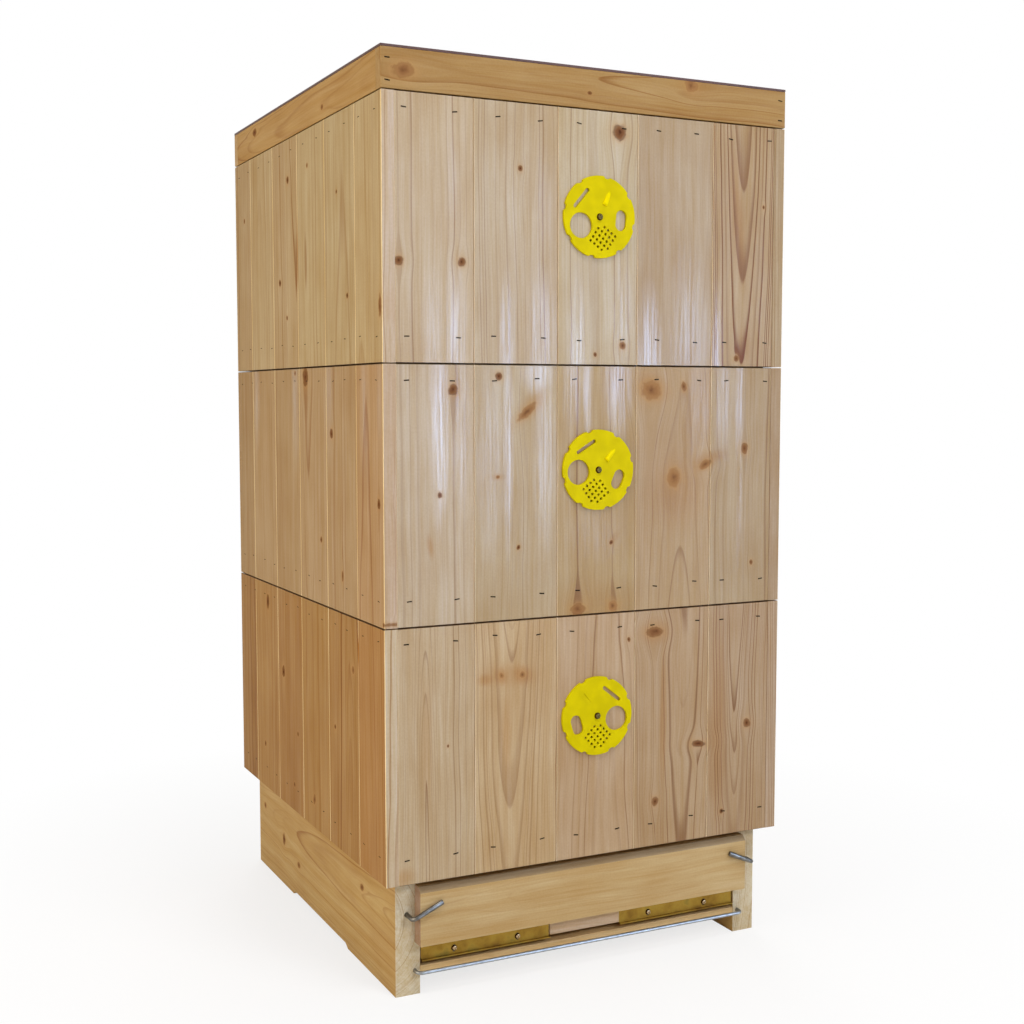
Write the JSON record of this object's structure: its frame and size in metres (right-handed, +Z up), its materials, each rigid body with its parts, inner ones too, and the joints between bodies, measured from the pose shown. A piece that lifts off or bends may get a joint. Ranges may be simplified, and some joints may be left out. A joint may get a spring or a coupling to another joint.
{
  "type": "insulated beehive",
  "caption": "Insulated wooden beehive: stacked board-clad bodies with turning entrance discs, on a floor stand with sliding gates and wire latches, under a flat sheet-covered roof.",
  "frame": {"origin": "on the ground under the middle of the hive's outer walls", "axes": "+Z up, -Y to the front with the entrances, +X to the right as seen from the front"},
  "size_m": [0.49, 0.546, 0.98],
  "materials": {
    "cladding_pine": "varnished knotty pine",
    "stand_pine": "varnished pine",
    "roof_pine": "varnished pine",
    "inner_pine": "bare planed pine",
    "frame_wood": "bare planed lime",
    "fibre_insulation": "soft fibre board",
    "sleeve_plastic": "matt",
    "yellow_plastic": "glossy moulding",
    "dark_screw": "dark zinc",
    "yellow_zinc": "yellow passivated zinc",
    "galvanised_wire": "bright zinc",
    "beeswax": "wax",
    "brown_sheet": "coated brown"
  },
  "bodies": {
    "stand": {"left_runner": "stand_pine", "right_runner": "stand_pine", "stand_rear_wall": "stand_pine", "stand_front_rail": "stand_pine", "floor_boards": "stand_pine", "entrance_sill": "stand_pine", "closing_board": "stand_pine", "gate_board": "stand_pine", "gate_screws": "yellow_zinc", "hanging_rail": "galvanised_wire"},
    "left_gate": {"left_gate": "yellow_zinc"},
    "right_gate": {"right_gate": "yellow_zinc"},
    "left_latch": {"left_latch": "galvanised_wire"},
    "right_latch": {"right_latch": "galvanised_wire"},
    "lower_body": {"lower_front_cladding": "cladding_pine", "lower_rear_cladding": "cladding_pine", "lower_left_cladding": "cladding_pine", "lower_right_cladding": "cladding_pine", "lower_inner_walls": "inner_pine", "lower_rails": "inner_pine", "lower_insulation": "fibre_insulation", "lower_flight_sleeve": "sleeve_plastic", "lower_disc_screw": "dark_screw", "lower_comb_frames": "frame_wood", "lower_foundation": "beeswax"},
    "lower_disc": {"lower_entrance_disc": "yellow_plastic"},
    "middle_body": {"middle_front_cladding": "cladding_pine", "middle_rear_cladding": "cladding_pine", "middle_left_cladding": "cladding_pine", "middle_right_cladding": "cladding_pine", "middle_inner_walls": "inner_pine", "middle_rails": "inner_pine", "middle_insulation": "fibre_insulation", "middle_flight_sleeve": "sleeve_plastic", "middle_disc_screw": "dark_screw", "middle_comb_frames": "frame_wood", "middle_foundation": "beeswax"},
    "middle_disc": {"middle_entrance_disc": "yellow_plastic"},
    "upper_body": {"upper_front_cladding": "cladding_pine", "upper_rear_cladding": "cladding_pine", "upper_left_cladding": "cladding_pine", "upper_right_cladding": "cladding_pine", "upper_inner_walls": "inner_pine", "upper_rails": "inner_pine", "upper_insulation": "fibre_insulation", "upper_flight_sleeve": "sleeve_plastic", "upper_disc_screw": "dark_screw", "upper_comb_frames": "frame_wood", "upper_foundation": "beeswax"},
    "upper_disc": {"upper_entrance_disc": "yellow_plastic"},
    "roof": {"roof_front_rail": "roof_pine", "roof_rear_rail": "roof_pine", "roof_left_rail": "roof_pine", "roof_right_rail": "roof_pine", "roof_ceiling": "inner_pine", "roof_insulation": "fibre_insulation", "roof_deck": "inner_pine", "roof_sheet": "brown_sheet"}
  },
  "joints": [
    {"name": "lower_body_lift", "type": "slide", "parent": "stand", "child": "lower_body", "axis": [0, 0, 1], "range_m": [0, 0.15]},
    {"name": "lower_disc_turn", "type": "hinge", "parent": "lower_body", "child": "lower_disc", "pos_m": [0.00225, -0.27, 0.284], "axis": [0, -1, 0], "continuous": true},
    {"name": "middle_body_lift", "type": "slide", "parent": "lower_body", "child": "middle_body", "axis": [0, 0, 1], "range_m": [0, 0.15]},
    {"name": "middle_disc_turn", "type": "hinge", "parent": "middle_body", "child": "middle_disc", "pos_m": [0.00225, -0.27, 0.554], "axis": [0, -1, 0], "continuous": true},
    {"name": "upper_body_lift", "type": "slide", "parent": "middle_body", "child": "upper_body", "axis": [0, 0, 1], "range_m": [0, 0.15]},
    {"name": "upper_disc_turn", "type": "hinge", "parent": "upper_body", "child": "upper_disc", "pos_m": [0.00225, -0.27, 0.824], "axis": [0, -1, 0], "continuous": true},
    {"name": "roof_lift", "type": "slide", "parent": "upper_body", "child": "roof", "axis": [0, 0, 1], "range_m": [0, 0.15]},
    {"name": "left_gate_slide", "type": "slide", "parent": "stand", "child": "left_gate", "axis": [0, 0, 1], "range_m": [-0.002, 0.0025]},
    {"name": "left_latch_turn", "type": "hinge", "parent": "stand", "child": "left_latch", "pos_m": [-0.215, -0.251, 0.088], "axis": [0, -1, 0], "range_deg": [-113, 0]},
    {"name": "right_gate_slide", "type": "slide", "parent": "stand", "child": "right_gate", "axis": [0, 0, 1], "range_m": [-0.002, 0.0025]},
    {"name": "right_latch_turn", "type": "hinge", "parent": "stand", "child": "right_latch", "pos_m": [0.215, -0.251, 0.088], "axis": [0, -1, 0], "range_deg": [0, 113]}
  ]
}
